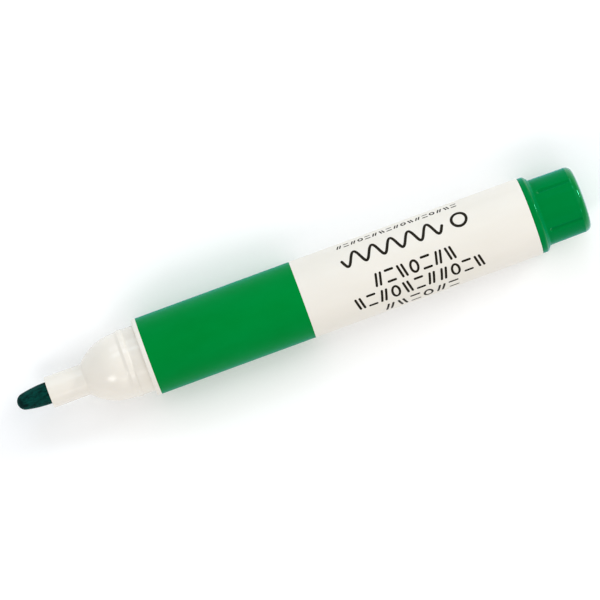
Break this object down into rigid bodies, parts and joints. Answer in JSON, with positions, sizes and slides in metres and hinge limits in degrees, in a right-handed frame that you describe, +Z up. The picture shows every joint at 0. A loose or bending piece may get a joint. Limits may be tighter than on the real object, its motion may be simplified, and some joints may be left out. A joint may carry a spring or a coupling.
{
  "type": "whiteboard marker",
  "caption": "Uncapped round whiteboard marker with a bullet fibre nib, a domed nib holder, a printed colour band and a grooved end plug.",
  "frame": {"origin": "on the surface the marker lies on, below the middle of its length", "axes": "+X along the marker's axis from the nib to the end plug, +Z up, the axis one barrel radius above the origin"},
  "size_m": [0.1274, 0.017, 0.017],
  "materials": {
    "barrel_plastic": "smooth moulded polypropylene, low gloss",
    "band_ink": "printed ink, satin",
    "section_plastic": "smooth moulded polypropylene, low gloss",
    "nib_fibre": "ink-soaked bonded fibre",
    "reservoir_fibre": "ink-soaked loose fibre",
    "reservoir_film": "thin clear film",
    "plug_plastic": "smooth moulded polypropylene, low gloss"
  },
  "bodies": {
    "barrel_assembly": {"barrel": "barrel_plastic", "colour_band": "band_ink", "front_section": "section_plastic", "reservoir_fibre": "reservoir_fibre", "reservoir_film": "reservoir_film"},
    "nib": {"nib": "nib_fibre"},
    "end_plug": {"end_plug": "plug_plastic"}
  },
  "joints": [
    {"name": "nib_pull", "type": "slide", "parent": "barrel_assembly", "child": "nib", "axis": [-1, 0, 0], "range_m": [0, 0.032]},
    {"name": "plug_pull", "type": "slide", "parent": "barrel_assembly", "child": "end_plug", "axis": [1, 0, 0], "range_m": [0, 0.012]}
  ]
}
